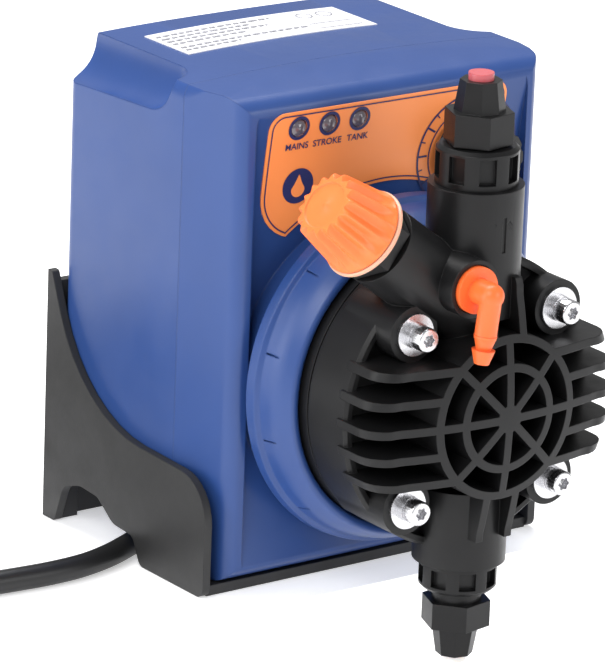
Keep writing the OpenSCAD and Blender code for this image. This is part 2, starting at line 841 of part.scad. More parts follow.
module guide_tube() {
    color([0.8, 0.65, 0.3]) turned([
        [armature_r + fit, gap_y - 6], [tube_r, gap_y - 6],
        [tube_r, coil_y + coil_l], [armature_r + fit, coil_y + coil_l]
    ]);
}

module armature() {
    color([0.62, 0.63, 0.66]) turned([
        [rod_r + 0.02, armature_y], [armature_r - 0.5, armature_y], [armature_r, armature_y + 0.5],
        [armature_r, armature_y + armature_l - 0.5], [armature_r - 0.5, armature_y + armature_l],
        [0, armature_y + armature_l], [0, armature_y + 7], [rod_r + 0.02, armature_y + 7]
    ]);
}

module end_bumper() {
    y = armature_y + armature_l;
    color([0.1, 0.1, 0.1]) turned([
        [0, y], [7, y], [9, y + 1], [9, can_y + can_l - 4], [0, can_y + can_l - 4]
    ]);
}

module push_rod() {
    color("silver") turned([
        [0, rod_front_y], [rod_r, rod_front_y], [rod_r, armature_y + 7], [0, armature_y + 7]
    ]);
}

spring_turns = 5;
spring_wire_r = 0.6;
spring_r = 5.4;
spring_steps = 16;

module return_spring() {
    y0 = gap_y - spring_d + spring_wire_r + 0.1;
    y1 = armature_y - spring_wire_r - 0.1;
    n = spring_turns * spring_steps;
    color("silver") translate([0, 0, head_z]) sweep_tube(
        [for (i = [0 : n]) let (a = 360 * i / spring_steps)
            [spring_r * cos(a), y0 + (y1 - y0) * i / n, spring_r * sin(a)]],
        spring_wire_r, 8, [0, 1, 0]
    );
}

// ---- diaphragm and head -----------------------------------------------------------------

insert_r = 9;
insert_y = plate_y - 1.4;

module diaphragm_insert() {
    color("silver") turned([
        [0, insert_y], [insert_r, insert_y], [insert_r, plate_y + 1.2], [5.5, plate_y + 1.2],
        [5.5, plate_y + 5], [rod_r + 0.02, plate_y + 5], [rod_r + 0.02, rod_front_y], [0, rod_front_y]
    ]);
}

// Diaphragm: clamped rim, thin rolled web and a hub moulded round the insert
module diaphragm() {
    y = plate_y;
    color([0.85, 0.85, 0.82]) turned([
        [0, y - 3.4], [insert_r + 1, y - 3.4], [insert_r + 3, y - 2.4], [insert_r + 4.5, y - 1.2],
        [18, y - 0.7], [22, y - 1.4], [chamber_r + 0.5, y - diaphragm_t], [diaphragm_r, y - diaphragm_t],
        [diaphragm_r, y], [chamber_r + 0.5, y], [22, y - 0.2], [18, y + 0.4], [insert_r + 4.5, y],
        [insert_r + 3, y + 0.6], [insert_r + fit, y + 0.6], [insert_r + fit, insert_y - fit],
        [0, insert_y - fit]
    ]);
}

module head_backplate() {
    color([0.14, 0.14, 0.15]) difference() {
        turned(rounded([
            [12.5, floor_y, 0], [head_r - 0.2, floor_y, 0.5], [head_r - 0.2, plate_y, 0],
            [chamber_r, plate_y, 0], [chamber_r - 1, plate_y + 2, 0], [insert_r + 3.5, plate_y + 2, 0]
        ]));
        at_head_screws() rotate([-90, 0, 0]) translate([0, 0, plate_y - eps])
            cylinder(r = screw_hole_r, h = plate_t + 2 * eps);
    }
}

// Solid disc of the head with its deep rim and the diaphragm chamber behind
module head_disc() {
    turned([
        [0, plate_y - diaphragm_t - chamber_d], [chamber_r - 1, plate_y - diaphragm_t - chamber_d],
        [chamber_r, plate_y - diaphragm_t], [diaphragm_r + 0.2, plate_y - diaphragm_t],
        [diaphragm_r + 0.2, plate_y], [head_r - 0.6, plate_y], [head_r, plate_y - 0.8],
        [head_r, head_rim_y + 1], [head_r - 0.9, head_rim_y], [head_r - 2.4, head_rim_y],
        [head_r - 2.6, head_floor_y], [0, head_floor_y]
    ]);
}

// Everything that stands on the head's floor is trimmed to one shallow dome with a rounded edge
module dome_trim() {
    turned(concat(
        [for (i = [0 : 10]) let (r = i * 3.45) [r, hub_y + dome_r - sqrt(dome_r * dome_r - r * r)]],
        [for (a = [-75 : 15 : 0]) [head_r - 7.4 + 8 * cos(a), hub_y + 12.6 + 8 * sin(a)]],
        [[head_r + 0.6, head_floor_y + 1], [0, head_floor_y + 1]]
    ));
}

// Fins, rings, spokes and the twin ribs up and down to the valve cylinders
module head_ribs() {
    y0 = hub_y - 1;
    y1 = head_floor_y + 0.5;
    for (i = [0 : fin_count - 1], s = [-1, 1]) let (z = head_z + (i - (fin_count - 1) / 2) * fin_pitch)
        block(s > 0 ? sqrt(ring_r * ring_r - pow(z - head_z, 2)) : -head_r - 1,
            s > 0 ? head_r + 1 : -sqrt(ring_r * ring_r - pow(z - head_z, 2)), y0, y1, z - fin_t / 2, z + fin_t / 2);
    translate([0, 0, head_z]) rotate([90, 0, 0]) {
        ring(ring_r + fin_t / 2, ring_r - fin_t / 2, -y1, -y0);
        ring(inner_ring_r + fin_t / 2, inner_ring_r - fin_t / 2, -y1, -y0);
        translate([0, 0, -y1]) cylinder(r = 4, h = y1 - y0);
        for (a = [0 : 45 : 315]) rotate(a) translate([3, -fin_t / 2, -y1])
            cube([ring_r - 3, fin_t, y1 - y0]);
    }
    for (s = [-1, 1], t = [-1, 1]) block(s * 5 - fin_t / 2, s * 5 + fin_t / 2, y0, y1,
        t > 0 ? head_z + ring_r - 1.5 : head_z - ring_r - 14, t > 0 ? head_z + ring_r + 16 : head_z - ring_r + 1.5);
}

// Flow passage, in heights from the head's axis: out of the chamber, along the disc, into the valve cylinder
module passage(h0, h1, port_h) {
    bar_y(0, head_z + h0, flow_r, passage_y - flow_r, plate_y - diaphragm_t);
    translate([0, passage_y, head_z + h0]) cylinder(r = cross_r, h = h1 - h0);
    bar_y(0, head_z + h1, flow_r, valve_y - flow_r, passage_y + flow_r);
    translate([0, valve_y, head_z + h1]) cylinder(r = cross_r, h = port_h - h1 + eps);
}

module mirrored_passage() {
    translate([0, 0, head_z]) mirror([0, 0, 1]) translate([0, 0, -head_z]) children();
}

module pump_head() {
    color([0.13, 0.13, 0.14]) difference() {
        union() {
            head_disc();
            intersection() {
                head_ribs();
                dome_trim();
            }
            intersection() {
                at_head_screws() bar_y(0, 0, boss_r, boss_y, plate_y - diaphragm_t - 0.5);
                turned([[0, boss_y - 1], [head_r + 0.8, boss_y - 1], [head_r + 0.8, plate_y], [0, plate_y]]);
            }
            // discharge, suction, bleed and elbow bosses
            translate([0, valve_y, head_z + ring_r + 4]) rotate(90)
                cylinder(r = discharge_r, h = discharge_h - ring_r - 4);
            translate([0, valve_y, suction_z]) rotate(90) cylinder(r = suction_r, h = suction_h - ring_r - 1);
            at_bleed() rotate(90) cylinder(r = bleed_boss_r, h = bleed_boss_l);
            at_elbow() cylinder(r = elbow_boss_r, h = elbow_boss_l);
            // web between the head's top and the bleed boss
            block(-24, 0, valve_y - 3, valve_y + 8, head_z + 30, head_z + 42);
        }
        // nothing of the bleed boss reaches into the open grille
        intersection() {
            turned([[0, hub_y], [ring_r - fin_t / 2, hub_y], [ring_r - fin_t / 2, head_floor_y], [0, head_floor_y]]);
            at_bleed() rotate(90) cylinder(r = bleed_boss_r + 1, h = 10);
        }
        at_head_screws() rotate([-90, 0, 0]) translate([0, 0, boss_y - 1]) cylinder(r = screw_hole_r, h = 40);
        // valve ports
        at_discharge() translate([0, 0, -port_d]) cylinder(r = port_r, h = port_d + eps);
        at_suction() translate([0, 0, -port_d]) cylinder(r = port_r, h = port_d + eps);
        // passages from the diaphragm chamber to each port
        passage(passage_at, passage_up, discharge_h - port_d);
        mirrored_passage() passage(passage_at, passage_down, suction_h - port_d);
        // bleed bore, its seat, and the way out to the elbow
        at_bleed() {
            translate([0, 0, bleed_seat]) cylinder(r = bleed_bore_r, h = bleed_boss_l);
            translate([0, 0, 4]) cylinder(r = 1.5, h = bleed_seat);
        }
        at_elbow() translate([0, 0, -2]) cylinder(r = elbow_bore_r, h = elbow_boss_l + 3);
        at_elbow() translate([0, 0, elbow_boss_l - 1.5]) cylinder(r = 6.9, h = 2);
        // flow arrow engraved on the discharge cylinder
        translate([0, valve_y, head_z + 52]) {
            block(-0.6, 0.6, -discharge_r - 1, -discharge_r + 0.4, -6, 4);
            for (s = [-1, 1]) rotate([0, s * 40, 0]) translate([-0.6, -discharge_r - 1, -1])
                translate([0, 0, 4.4]) rotate([0, s * 100, 0]) cube([1.2, 1.4, 4.5]);
        }
    }
}

module head_screws() {
    seat = boss_y - washer_t - spring_washer_t;
    color("silver") at_head_screws() rotate([90, 0, 0]) difference() {
        union() {
            translate([0, 0, -seat]) cylinder(r = screw_head_r, h = screw_head_h);
            translate([0, 0, -can_y]) cylinder(r = screw_r, h = can_y - seat);
        }
        translate([0, 0, screw_head_h - seat - 2.4]) cylinder(r = 1.75, h = 3, $fn = 6);
    }
}

module spring_washers() {
    color("silver") at_head_screws() rotate([90, 0, 0])
        ring(screw_head_r + 0.2, screw_r + 0.15, washer_t - boss_y, washer_t + spring_washer_t - boss_y);
}

module flat_washers() {
    color("silver") at_head_screws() rotate([90, 0, 0])
        ring(washer_r, screw_r + 0.15, -boss_y, washer_t - boss_y);
}

// ---- valves -----------------------------------------------------------------------------

// Valve cartridge from the port face outward: threaded spigot, castellated collar and hose spigot.
// The ball's cage runs from cage_a to cage_b.
module valve_cartridge(collar_r0, collar_l, neck_l, cage_a, cage_b, windows) {
    difference() {
        union() {
            translate([0, 0, seal_t - port_d]) cylinder(r = port_r - fit, h = port_d - seal_t);
            cylinder(r = collar_r0, h = collar_l - 1);
            translate([0, 0, collar_l - 1]) cylinder(r1 = collar_r0, r2 = collar_r0 - 1, h = 1);
            cylinder(r = spigot_r, h = collar_l + neck_l + 6);
        }
        translate([0, 0, cage_a]) cylinder(r = ball_r + cage_gap, h = cage_b - cage_a);
        translate([0, 0, -port_d]) cylinder(r = flow_r, h = port_d + collar_l + neck_l + 10);
        for (i = [0 : windows - 1]) rotate(i * 360 / windows + 180 / windows)
            translate([collar_r0 - 2, -2.4, 1.8]) cube([4, 4.8, collar_l - 3.6]);
    }
}

// Hose nut: hexagon and an eight-sided tapering nose, from z0 outward
module hose_nut(z0, hex_h, nose_r0, nose_r1, nose_h) {
    difference() {
        union() {
            translate([0, 0, z0]) rotate(10) cylinder(r = hex_r, h = hex_h, $fn = 6);
            translate([0, 0, z0 + hex_h]) rotate(10) cylinder(r1 = nose_r0, r2 = nose_r1, h = nose_h, $fn = 8);
        }
        translate([0, 0, z0 - eps]) cylinder(r = spigot_r + fit, h = hex_h - 0.6);
        translate([0, 0, z0]) cylinder(r = hose_bore_r, h = hex_h + nose_h + eps);
    }
}

d_collar_l = 11;
d_neck_l = 0.4;
d_hex_h = 9.1;
d_nose_h = 8.6;
s_collar_l = 8.6;
s_neck_l = 3.6;
s_hex_h = 7.6;
s_nose_h = 9;
nose_r0 = 7.2;
d_seat = seal_t - port_d + 3;              // discharge ball seat, measured outward from the port face
s_seat = -2;
plug_out = 2;

module discharge_valve() {
    color([0.12, 0.12, 0.13]) at_discharge() valve_cartridge(discharge_r - 1.8, d_collar_l, d_neck_l,
        d_seat, d_seat + seat_h + ball_r + ball_lift + run, 8);
}

module discharge_ball() {
    color([0.9, 0.9, 0.88]) at_discharge() translate([0, 0, d_seat + seat_h]) sphere(r = ball_r);
}

module discharge_seal() {
    color([0.1, 0.1, 0.1]) at_discharge() ring(port_r - 0.2, 5, -port_d, seal_t - port_d);
}

module discharge_nut() {
    color([0.12, 0.12, 0.13]) at_discharge() hose_nut(d_collar_l + d_neck_l, d_hex_h, nose_r0, 5.85, d_nose_h);
}

module discharge_plug() {
    z = d_collar_l + d_neck_l + d_hex_h;
    color([0.86, 0.12, 0.12]) at_discharge() translate([0, 0, z + 1.5])
        cylinder(r = hose_bore_r - fit, h = d_nose_h - 1.5 + plug_out);
}

module suction_valve() {
    color([0.12, 0.12, 0.13]) at_suction() valve_cartridge(suction_r - 2.2, s_collar_l, s_neck_l,
        s_seat - seat_h - ball_r - ball_lift - run, s_seat, 8);
}

module suction_ball() {
    color([0.9, 0.9, 0.88]) at_suction() translate([0, 0, s_seat - seat_h]) sphere(r = ball_r);
}

module suction_seal() {
    color([0.1, 0.1, 0.1]) at_suction() ring(port_r - 0.2, 5, -port_d, seal_t - port_d);
}

module suction_nut() {
    color([0.12, 0.12, 0.13]) at_suction() hose_nut(s_collar_l + s_neck_l, s_hex_h, nose_r0 - 0.5, 5.2, s_nose_h);
}

module suction_plug() {
    z = s_collar_l + s_neck_l + s_hex_h;
    color([0.93, 0.93, 0.93]) at_suction() translate([0, 0, z + 1.5])
        cylinder(r = hose_bore_r - fit, h = s_nose_h - 1.5 + plug_out);
}

// ---- bleed valve ------------------------------------------------------------------------

module bleed_body() {
    color([0.16, 0.16, 0.17]) at_bleed() difference() {
        union() {
            translate([0, 0, bleed_boss_l - 12]) cylinder(r = bleed_bore_r - fit, h = 12.6);
            translate([0, 0, bleed_boss_l + 0.6])
                cylinder(r = bleed_hex_af / 2 / cos(30), h = bleed_hex_h - 0.3, $fn = 6);
        }
        translate([0, 0, bleed_boss_l - 13]) cylinder(r = bleed_stem_r + fit, h = 20);
    }
}

module bleed_seal() {
    color([0.1, 0.1, 0.1]) at_bleed() {
        translate([0, 0, bleed_seat + run / 3]) cylinder(r = 4.6, h = 2);
    }
}

module bleed_stem() {
    color([0.8, 0.8, 0.82]) at_bleed() {
        translate([0, 0, bleed_seat + 2.4])
            cylinder(r = bleed_stem_r, h = bleed_boss_l + bleed_hex_h + 3.5 - bleed_seat);
    }
}

bleed_flutes = 16;

module bleed_knob() {
    z0 = bleed_boss_l + bleed_hex_h + 0.6;
    color([1, 0.45, 0.22]) at_bleed() difference() {
        union() {
            translate([0, 0, z0]) cylinder(r = bleed_flange_r, h = 1.6);
            translate([0, 0, z0 + 1.6]) cylinder(r1 = bleed_flange_r - 0.8, r2 = bleed_knob_r, h = bleed_knob_h - 1.6);
        }
        for (i = [0 : bleed_flutes - 1]) rotate(i * 360 / bleed_flutes)
            translate([bleed_flange_r - 0.2, 0, z0 + 2.2])
                rotate([0, -atan((bleed_flange_r - bleed_knob_r - 0.8) / bleed_knob_h), 0])
                    cylinder(r = 1.7, h = bleed_knob_h + 4);
        translate([0, 0, z0 - eps]) cylinder(r = bleed_stem_r + 0.02, h = 5.5);
    }
}

elbow_reach = 24;          // from the boss root to the elbow's corner
elbow_drop = 19;

// Hose-barb elbow that turns in its boss
module bleed_elbow() {
    color([1, 0.4, 0.18]) at_elbow() rotate(-elbow_swivel) {
        difference() {
            union() {
                translate([0, 0, elbow_boss_l - 9]) cylinder(r = elbow_bore_r - fit, h = 10);
                translate([0, 0, elbow_boss_l - 1.5 + 0.1]) cylinder(r = 6.6, h = 2.9);
                translate([0, 0, elbow_boss_l]) cylinder(r = 3.6, h = elbow_reach - elbow_boss_l);
                translate([0, 0, elbow_reach]) sphere(r = 3.6);
                translate([0, 0, elbow_reach]) rotate([90, 0, 0]) cylinder(r = 3.1, h = elbow_drop - 7);
                for (k = [0 : 1]) translate([0, 0, elbow_reach]) rotate([90, 0, 0])
                    translate([0, 0, elbow_drop - 8 + 4 * k]) cylinder(r1 = 3.3, r2 = 2.1, h = 4);
            }
            translate([0, 0, elbow_boss_l - 10]) cylinder(r = 1.6, h = elbow_reach - elbow_boss_l + 10);
            translate([0, 0, elbow_reach]) rotate([90, 0, 0]) cylinder(r = 1.3, h = elbow_drop + 2);
        }
    }
}

rear_housing();
front_cover();
control_label();
rating_label();
mounting_bracket();
bracket_screws();
housing_screws();
cable_gland();
power_cable();
cable_coil();
cable_tail();
mains_plug();
plug_pins();
control_board();
board_parts();
led_board();
power_led();
pulse_led();
level_led();
potentiometer();
flow_knob();
solenoid_can();
solenoid_coil();
solenoid_pole();
guide_tube();
end_bumper();
rod_bush();
armature();
push_rod();
return_spring();
diaphragm();
diaphragm_insert();
head_backplate();
pump_head();
head_screws();
spring_washers();
flat_washers();
discharge_valve();
discharge_ball();
discharge_seal();
discharge_nut();
discharge_plug();
suction_valve();
suction_ball();
suction_seal();
suction_nut();
suction_plug();
bleed_body();
bleed_seal();
bleed_stem();
bleed_knob();
bleed_elbow();
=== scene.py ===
"""Solenoid diaphragm dosing pump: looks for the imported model, in metres, in the model's own frame."""

import json
import math

import bmesh
import bpy
from mathutils import Matrix, Vector, noise


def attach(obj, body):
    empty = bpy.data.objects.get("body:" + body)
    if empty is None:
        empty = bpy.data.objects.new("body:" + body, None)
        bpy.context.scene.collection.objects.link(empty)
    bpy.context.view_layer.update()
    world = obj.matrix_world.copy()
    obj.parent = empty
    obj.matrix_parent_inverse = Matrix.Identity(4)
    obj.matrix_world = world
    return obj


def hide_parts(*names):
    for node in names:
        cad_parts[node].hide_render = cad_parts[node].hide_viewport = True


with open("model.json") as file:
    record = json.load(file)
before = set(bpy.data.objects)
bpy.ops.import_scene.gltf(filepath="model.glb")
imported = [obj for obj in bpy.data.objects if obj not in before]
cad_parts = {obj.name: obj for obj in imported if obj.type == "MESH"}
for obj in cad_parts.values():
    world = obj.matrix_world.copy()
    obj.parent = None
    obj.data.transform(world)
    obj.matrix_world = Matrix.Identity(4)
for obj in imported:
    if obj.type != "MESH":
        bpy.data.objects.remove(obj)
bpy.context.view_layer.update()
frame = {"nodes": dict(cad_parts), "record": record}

# ---- sizes repeated from the model's source -------------------------------------------------

CABLE_R = 0.0034
ROUTE = [
    (0.002, 0.032, 0.0086), (-0.012, 0.032, 0.0082), (-0.024, 0.031, 0.0066), (-0.036, 0.028, 0.0046),
    (-0.047, 0.024, 0.0036), (-0.057, 0.0195, 0.0034), (-0.067, 0.015, 0.0034), (-0.078, 0.012, 0.0034),
    (-0.089, 0.0113, 0.0034), (-0.100, 0.012, 0.0034), (-0.112, 0.0132, 0.0034), (-0.124, 0.0138, 0.0034),
]
TAIL = [
    (-0.1495, 0.0152, 0.0103), (-0.1602, 0.0197, 0.0106), (-0.1693, 0.0267, 0.0113),
    (-0.1764, 0.0359, 0.0125), (-0.1808, 0.0465, 0.0143), (-0.1823, 0.0580, 0.0165),
    (-0.1813, 0.0653, 0.0184), (-0.1785, 0.0720, 0.0205), (-0.1741, 0.0778, 0.0229),
    (-0.1683, 0.0822, 0.0255), (-0.1615, 0.0850, 0.0281), (-0.1543, 0.0860, 0.0308),
    (-0.1450, 0.0860, 0.0331),
]
COIL_CENTRE = Vector((-0.138, 0.058, 0.0))
COIL_ROWS = (0.0443, 0.0375, 0.0307)     # radii of the coil's three rows
COIL_TURNS = 5
COIL_STEPS = 48            # points for each turn of the coil
ROUTE_STEPS = 4            # points between two points of a route
TIE_ANGLE = math.radians(200)
TIE_HALF_W = 0.0115
TIE_HALF_H = 0.0076
TIE_T = 0.0009

HEAD_Z = 0.061
VALVE_Y = -0.060
BOSS_AT = 0.025
SCREW_SEAT_Y = -0.070
SCREW_HEAD_R = 0.0035
SCREW_HEAD_H = 0.0043
RIM_Y = -0.022
SCOOP_DEPTH = 0.006
SCOOP_LOW = 0.006
SCOOP_HIGH = 0.139
LABEL_T = 0.0004
LABEL_BOX = (-0.0427, 0.101, 0.040, 0.139)
COLLAR_R = 0.051
HEAD_R = 0.0425
LED_X0 = -0.0326
LED_PITCH = 0.0104
LED_Z = 0.134
DIAL = (0.028, 0.119)
BLEED_ANGLE = math.radians(36.6)
BLEED_BASE = Vector((0, VALVE_Y, HEAD_Z + 0.0255))
BLEED_KNOB_Z0 = 0.0466
BLEED_KNOB_H = 0.0178
BLEED_FLANGE_R = 0.013
BLEED_KNOB_R = 0.010
TOP_ARCH_R = 0.800
TOP_Z = 0.146
RATING_T = 0.0003

# ---- camera ---------------------------------------------------------------------------------

CAMERA_AZIMUTH = math.radians(-36.686)
CAMERA_ELEVATION = math.radians(17.888)
CAMERA_ROLL = math.radians(2.2)
CAMERA_DISTANCE = 1.514
CAMERA_TARGET = Vector((-0.035, -0.030, 0.0773))
CAMERA_LENS = 294.85


def make_camera():
    back = Vector((
        math.sin(CAMERA_AZIMUTH) * math.cos(CAMERA_ELEVATION),
        -math.cos(CAMERA_AZIMUTH) * math.cos(CAMERA_ELEVATION),
        math.sin(CAMERA_ELEVATION),
    ))
    data = bpy.data.cameras.new("camera")
    data.lens = CAMERA_LENS
    data.sensor_width = 36
    data.clip_end = 20
    camera = bpy.data.objects.new("camera", data)
    bpy.context.scene.collection.objects.link(camera)
    camera.location = CAMERA_TARGET + back * CAMERA_DISTANCE
    turn = back.to_track_quat("Z", "Y").to_matrix() @ Matrix.Rotation(CAMERA_ROLL, 3, "Z")
    camera.rotation_euler = turn.to_euler()
    bpy.context.scene.camera = camera


make_camera()

# ---- mesh helpers ---------------------------------------------------------------------------


def place(data, name, body="pump", material=None):
    """An object for this mesh, riding on a body."""
    piece = bpy.data.objects.new(name, data)
    bpy.context.scene.collection.objects.link(piece)
    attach(piece, body)
    if material is not None:
        data.materials.append(material)
    return piece


def finish_mesh(bm, name, body="pump", material=None, sharp=35):
    """The bmesh as a piece, smooth except along edges sharper than this angle."""
    bmesh.ops.recalc_face_normals(bm, faces=bm.faces)
    mesh = bpy.data.meshes.new(name)
    bm.to_mesh(mesh)
    bm.free()
    mesh.polygons.foreach_set("use_smooth", [True] * len(mesh.polygons))
    mesh.set_sharp_from_angle(angle=math.radians(sharp))
    return place(mesh, name, body, material)


def loft(bm, loops, cap_start=True, cap_end=True):
    """Quads between successive loops of points, with the ends filled."""
    rows = [[bm.verts.new(p) for p in loop] for loop in loops]
    count = len(rows[0])
    for a, b in zip(rows, rows[1:]):
        for k in range(count):
            j = (k + 1) % count
            bm.faces.new((a[k], a[j], b[j], b[k]))
    if cap_start:
        bm.faces.new(rows[0])
    if cap_end:
        bm.faces.new(rows[-1])


def circle_loop(at, radius_of, z, count):
    """Points round a local Z axis, placed by the matrix at; radius_of gives the radius at an angle."""
    angles = [2 * math.pi * k / count for k in range(count)]
    return [at @ Vector((radius_of(a) * math.cos(a), radius_of(a) * math.sin(a), z)) for a in angles]


def plain(radius):
    """A round section, for circle_loop."""
    return lambda angle: radius


def axis_matrix(origin, direction):
    """A frame at origin whose Z axis points along direction."""
    return Matrix.Translation(origin) @ direction.to_track_quat("Z", "Y").to_matrix().to_4x4()


def smoothstep(a, b, x):
    t = min(max((x - a) / (b - a), 0), 1)
    return t * t * (3 - 2 * t)


# ---- materials ------------------------------------------------------------------------------


class Nodes:
    """A material's node tree, with short calls for the nodes used here."""

    def __init__(self, name):
        self.material = bpy.data.materials.new(name)
        self.material.use_nodes = True
        self.tree = self.material.node_tree
        self.shader = self.tree.nodes["Principled BSDF"]
        self.coords = self.tree.nodes.new("ShaderNodeTexCoord").outputs["Object"]

    def add(self, kind, **values):
        node = self.tree.nodes.new(kind)
        for key, value in values.items():
            setattr(node, key, value)
        return node

    def link(self, a, b):
        self.tree.links.new(a, b)

    def stretched(self, scale):
        """Object coordinates scaled along each axis."""
        mapping = self.add("ShaderNodeMapping")
        mapping.inputs["Scale"].default_value = scale
        self.link(self.coords, mapping.inputs["Vector"])
        return mapping.outputs["Vector"]

    def noise(self, scale, detail=3, rough=0.55, vector=None):
        node = self.add("ShaderNodeTexNoise")
        node.inputs["Scale"].default_value = scale
        node.inputs["Detail"].default_value = detail
        node.inputs["Roughness"].default_value = rough
        self.link(vector or self.coords, node.inputs["Vector"])
        return node.outputs["Fac"]

    def ramp(self, fac, low, high, a, b):
        """A range from low to high mapped to values or colours a to b."""
        if isinstance(a, tuple):
            node = self.add("ShaderNodeValToRGB")
            node.color_ramp.elements[0].position = low
            node.color_ramp.elements[1].position = high
            node.color_ramp.elements[0].color = (*a, 1)
            node.color_ramp.elements[1].color = (*b, 1)
            self.link(fac, node.inputs["Fac"])
            return node.outputs["Color"]
        node = self.add("ShaderNodeMapRange")
        for key, value in zip(("From Min", "From Max", "To Min", "To Max"), (low, high, a, b)):
            node.inputs[key].default_value = value
        self.link(fac, node.inputs["Value"])
        return node.outputs["Result"]

    def bump(self, height, distance, strength=1.0, normal=None):
        node = self.add("ShaderNodeBump")
        node.inputs["Distance"].default_value = distance
        node.inputs["Strength"].default_value = strength
        self.link(height, node.inputs["Height"])
        if normal is not None:
            self.link(normal, node.inputs["Normal"])
        return node.outputs["Normal"]

    def soft_edges(self, radius):
        """Normals rounded along edges, as a moulded or turned edge is."""
        node = self.add("ShaderNodeBevel", samples=4)
        node.inputs["Radius"].default_value = radius
        return node.outputs["Normal"]


def shade(color, factor):
    return tuple(min(c * factor, 1) for c in color)


def plastic(name, color, rough, grain=1400, grain_depth=2e-5, edge=0.0003, vary=0.12, coat=0.0,
            coat_rough=0.1, streak=None, flow=0.0, specular=0.42, subsurface=0.0):
    """Moulded plastic: slow colour and gloss variation, a fine grain, and worn soft edges."""
    n = Nodes(name)
    n.link(n.ramp(n.noise(28, 4), 0.3, 0.7, shade(color, 1 - vary), shade(color, 1 + vary)),
           n.shader.inputs["Base Color"])
    n.link(n.ramp(n.noise(90, 5, 0.65), 0.3, 0.7, rough * 0.85, rough * 1.18), n.shader.inputs["Roughness"])
    normal = n.soft_edges(edge)
    if flow:
        normal = n.bump(n.noise(22, 2), flow, 0.6, normal)
    if streak:
        normal = n.bump(n.noise(1, 4, 0.6, n.stretched(streak)), 4e-5, 0.5, normal)
    n.link(n.bump(n.noise(grain, 2), grain_depth, 0.55, normal), n.shader.inputs["Normal"])
    n.shader.inputs["Coat Weight"].default_value = coat
    n.shader.inputs["Coat Roughness"].default_value = coat_rough
    n.shader.inputs["Specular IOR Level"].default_value = specular
    if subsurface:
        n.shader.inputs["Subsurface Weight"].default_value = subsurface
        n.shader.inputs["Subsurface Scale"].default_value = 0.002
    return n.material


def metal(name, color, rough, lines=(900, 900, 900), edge=0.0002):
    """Plated or turned metal with fine tool marks and cloudy gloss."""
    n = Nodes(name)
    n.shader.inputs["Metallic"].default_value = 1.0
    n.link(n.ramp(n.noise(260, 4), 0.3, 0.7, shade(color, 0.86), shade(color, 1.08)),
           n.shader.inputs["Base Color"])
    n.link(n.ramp(n.noise(420, 5, 0.7), 0.25, 0.75, rough * 0.7, rough * 1.35), n.shader.inputs["Roughness"])
    marks = n.noise(1, 3, 0.6, n.stretched(lines))
    n.link(n.bump(marks, 1.5e-5, 0.4, n.soft_edges(edge)), n.shader.inputs["Normal"])
    return n.material


BLUE = (0.022, 0.060, 0.215)
NAVY = (0.022, 0.026, 0.110)
BLACK = (0.0075, 0.0075, 0.0080)

housing_blue = plastic("housing_blue", BLUE, 0.34, grain=2200, grain_depth=1.2e-5, vary=0.05, flow=4e-5,
                       edge=0.0006)
# The collar is the cover's own blue plastic, darkened to 0.72 of it as painted shade.
collar_blue_painted_shade = plastic("collar_blue_painted_shade", shade(BLUE, 0.72), 0.42, grain=2600, grain_depth=1.2e-5, vary=0.06,
                      edge=0.0005)
bracket_grey = plastic("bracket_grey", (0.021, 0.021, 0.0215), 0.50, grain=1500, grain_depth=3e-5,
                       edge=0.0005, flow=5e-5)
head_black = plastic("head_black", BLACK, 0.38, grain=1700, grain_depth=2.5e-5, vary=0.15, edge=0.0004,
                     specular=0.28)
rim_black = plastic("rim_black", shade(BLACK, 1.15), 0.50, grain=1500, grain_depth=2.5e-5, vary=0.2,
                    streak=(1100, 16, 1100), edge=0.0004, specular=0.3)
valve_black = plastic("valve_black", shade(BLACK, 0.92), 0.34, grain=1700, grain_depth=2e-5, vary=0.15,
                      edge=0.0003, specular=0.26)
hex_black = plastic("hex_black", shade(BLACK, 1.3), 0.40, grain=1500, grain_depth=2.5e-5, edge=0.0003,
                    specular=0.26)
label_orange = plastic("label_orange", (1.0, 0.30, 0.085), 0.36, grain=3800, grain_depth=6e-6, vary=0.03,
                       edge=0.0001)
print_navy = plastic("print_navy", NAVY, 0.45, grain=3800, grain_depth=6e-6, vary=0.1, edge=0.0001)
label_white = plastic("label_white", (0.80, 0.80, 0.84), 0.30, grain=3000, grain_depth=5e-6, vary=0.02,
                      edge=0.0001)
print_grey = plastic("print_grey", (0.30, 0.30, 0.33), 0.45, grain=3000, grain_depth=5e-6, edge=0.0001)
knob_orange = plastic("knob_orange", (0.93, 0.190, 0.045), 0.40, grain=1800, grain_depth=1.5e-5, vary=0.05,
                      subsurface=0.15, edge=0.0003)
elbow_orange = plastic("elbow_orange", (0.93, 0.150, 0.032), 0.36, grain=1800, grain_depth=1.5e-5,
                       vary=0.05, subsurface=0.15, edge=0.0003)
pale_flange = plastic("pale_flange", (0.72, 0.40, 0.28), 0.30, grain=1500, grain_depth=1e-5, vary=0.05,
                      subsurface=0.4, edge=0.0003)
red_plug = plastic("red_plug", (0.50, 0.10, 0.115), 0.30, grain=1500, grain_depth=2e-5, subsurface=0.1)
white_plug = plastic("white_plug", (0.78, 0.76, 0.74), 0.32, grain=1500, grain_depth=2e-5, vary=0.03,
                     subsurface=0.2)
cable_black = plastic("cable_black", (0.0085, 0.0085, 0.009), 0.42, grain=900, grain_depth=3e-5, vary=0.2,
                      specular=0.4)
rubber_black = plastic("rubber_black", (0.015, 0.015, 0.016), 0.58, grain=1000, grain_depth=4e-5, vary=0.2)
knob_black = plastic("knob_black", (0.014, 0.014, 0.015), 0.36, grain=1800, grain_depth=1.5e-5)
lamp_dark = plastic("lamp_dark", (0.100, 0.086, 0.105), 0.10, grain=900, grain_depth=4e-6, coat=1.0,
                    coat_rough=0.04, edge=0.0002)
board_green = plastic("board_green", (0.015, 0.16, 0.06), 0.35, grain=700, grain_depth=5e-5)
part_brown = plastic("part_brown", (0.20, 0.13, 0.05), 0.40, grain=900)
